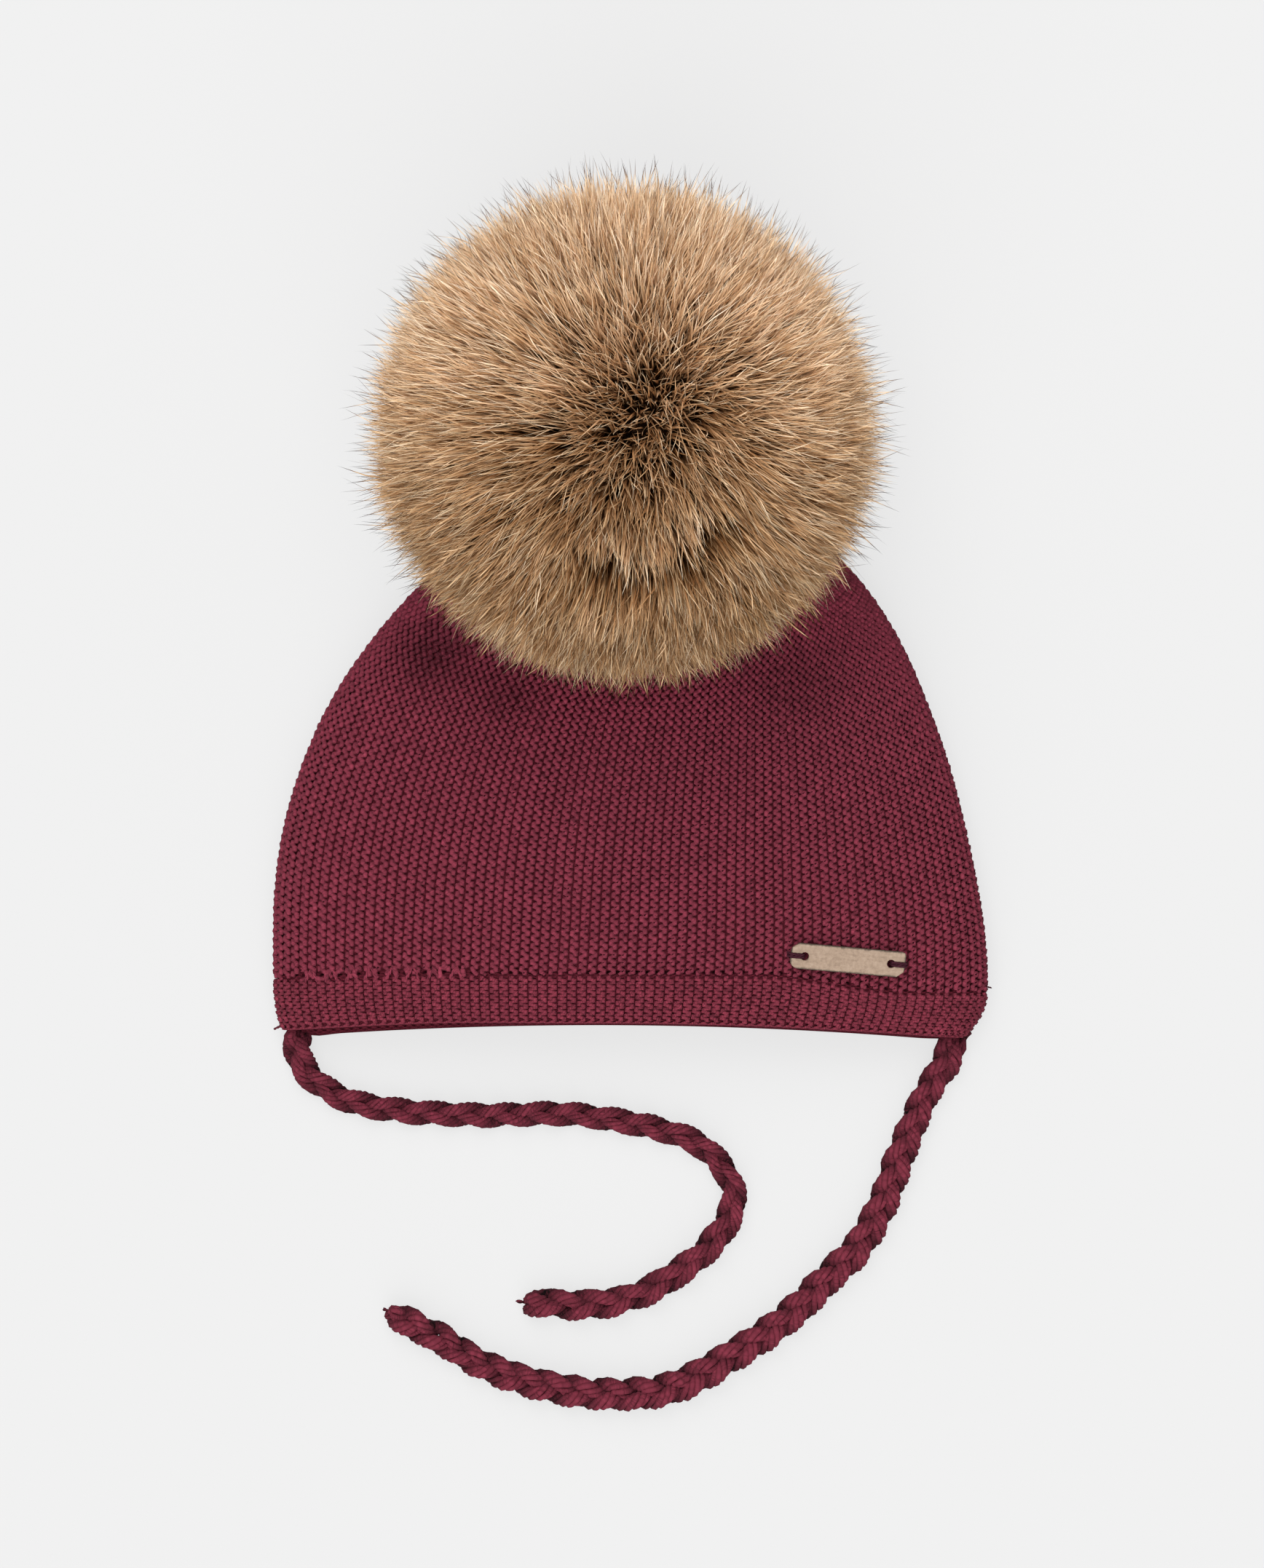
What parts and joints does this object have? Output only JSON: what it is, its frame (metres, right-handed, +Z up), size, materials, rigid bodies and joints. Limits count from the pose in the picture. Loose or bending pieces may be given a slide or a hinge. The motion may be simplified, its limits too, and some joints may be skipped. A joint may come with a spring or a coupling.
{
  "type": "pom-pom hat",
  "caption": "Baby's hollow knitted hat lying on its back, with a doubled hem, a large fur pom-pom, plaited ties and a slotted wood tag.",
  "frame": {"origin": "on the floor under the middle of the hat's bounding box, ties left out", "axes": "+X towards the hat's right side as seen from above, +Y from the hem towards the pom-pom, +Z up out of the hat's front"},
  "size_m": [0.196, 0.3313, 0.116],
  "materials": {
    "knit": "soft matte maroon yarn, purl side out",
    "fur": "long soft brown fur, dark at the roots and at the tips of the guard hairs",
    "wood": "bare sanded pale wood with scorched cut edges"
  },
  "bodies": {
    "root": {"crown": "knit", "band": "knit", "pompom": "fur", "tie_left": "knit", "tie_right": "knit", "wood_tag": "wood"}
  },
  "joints": []
}
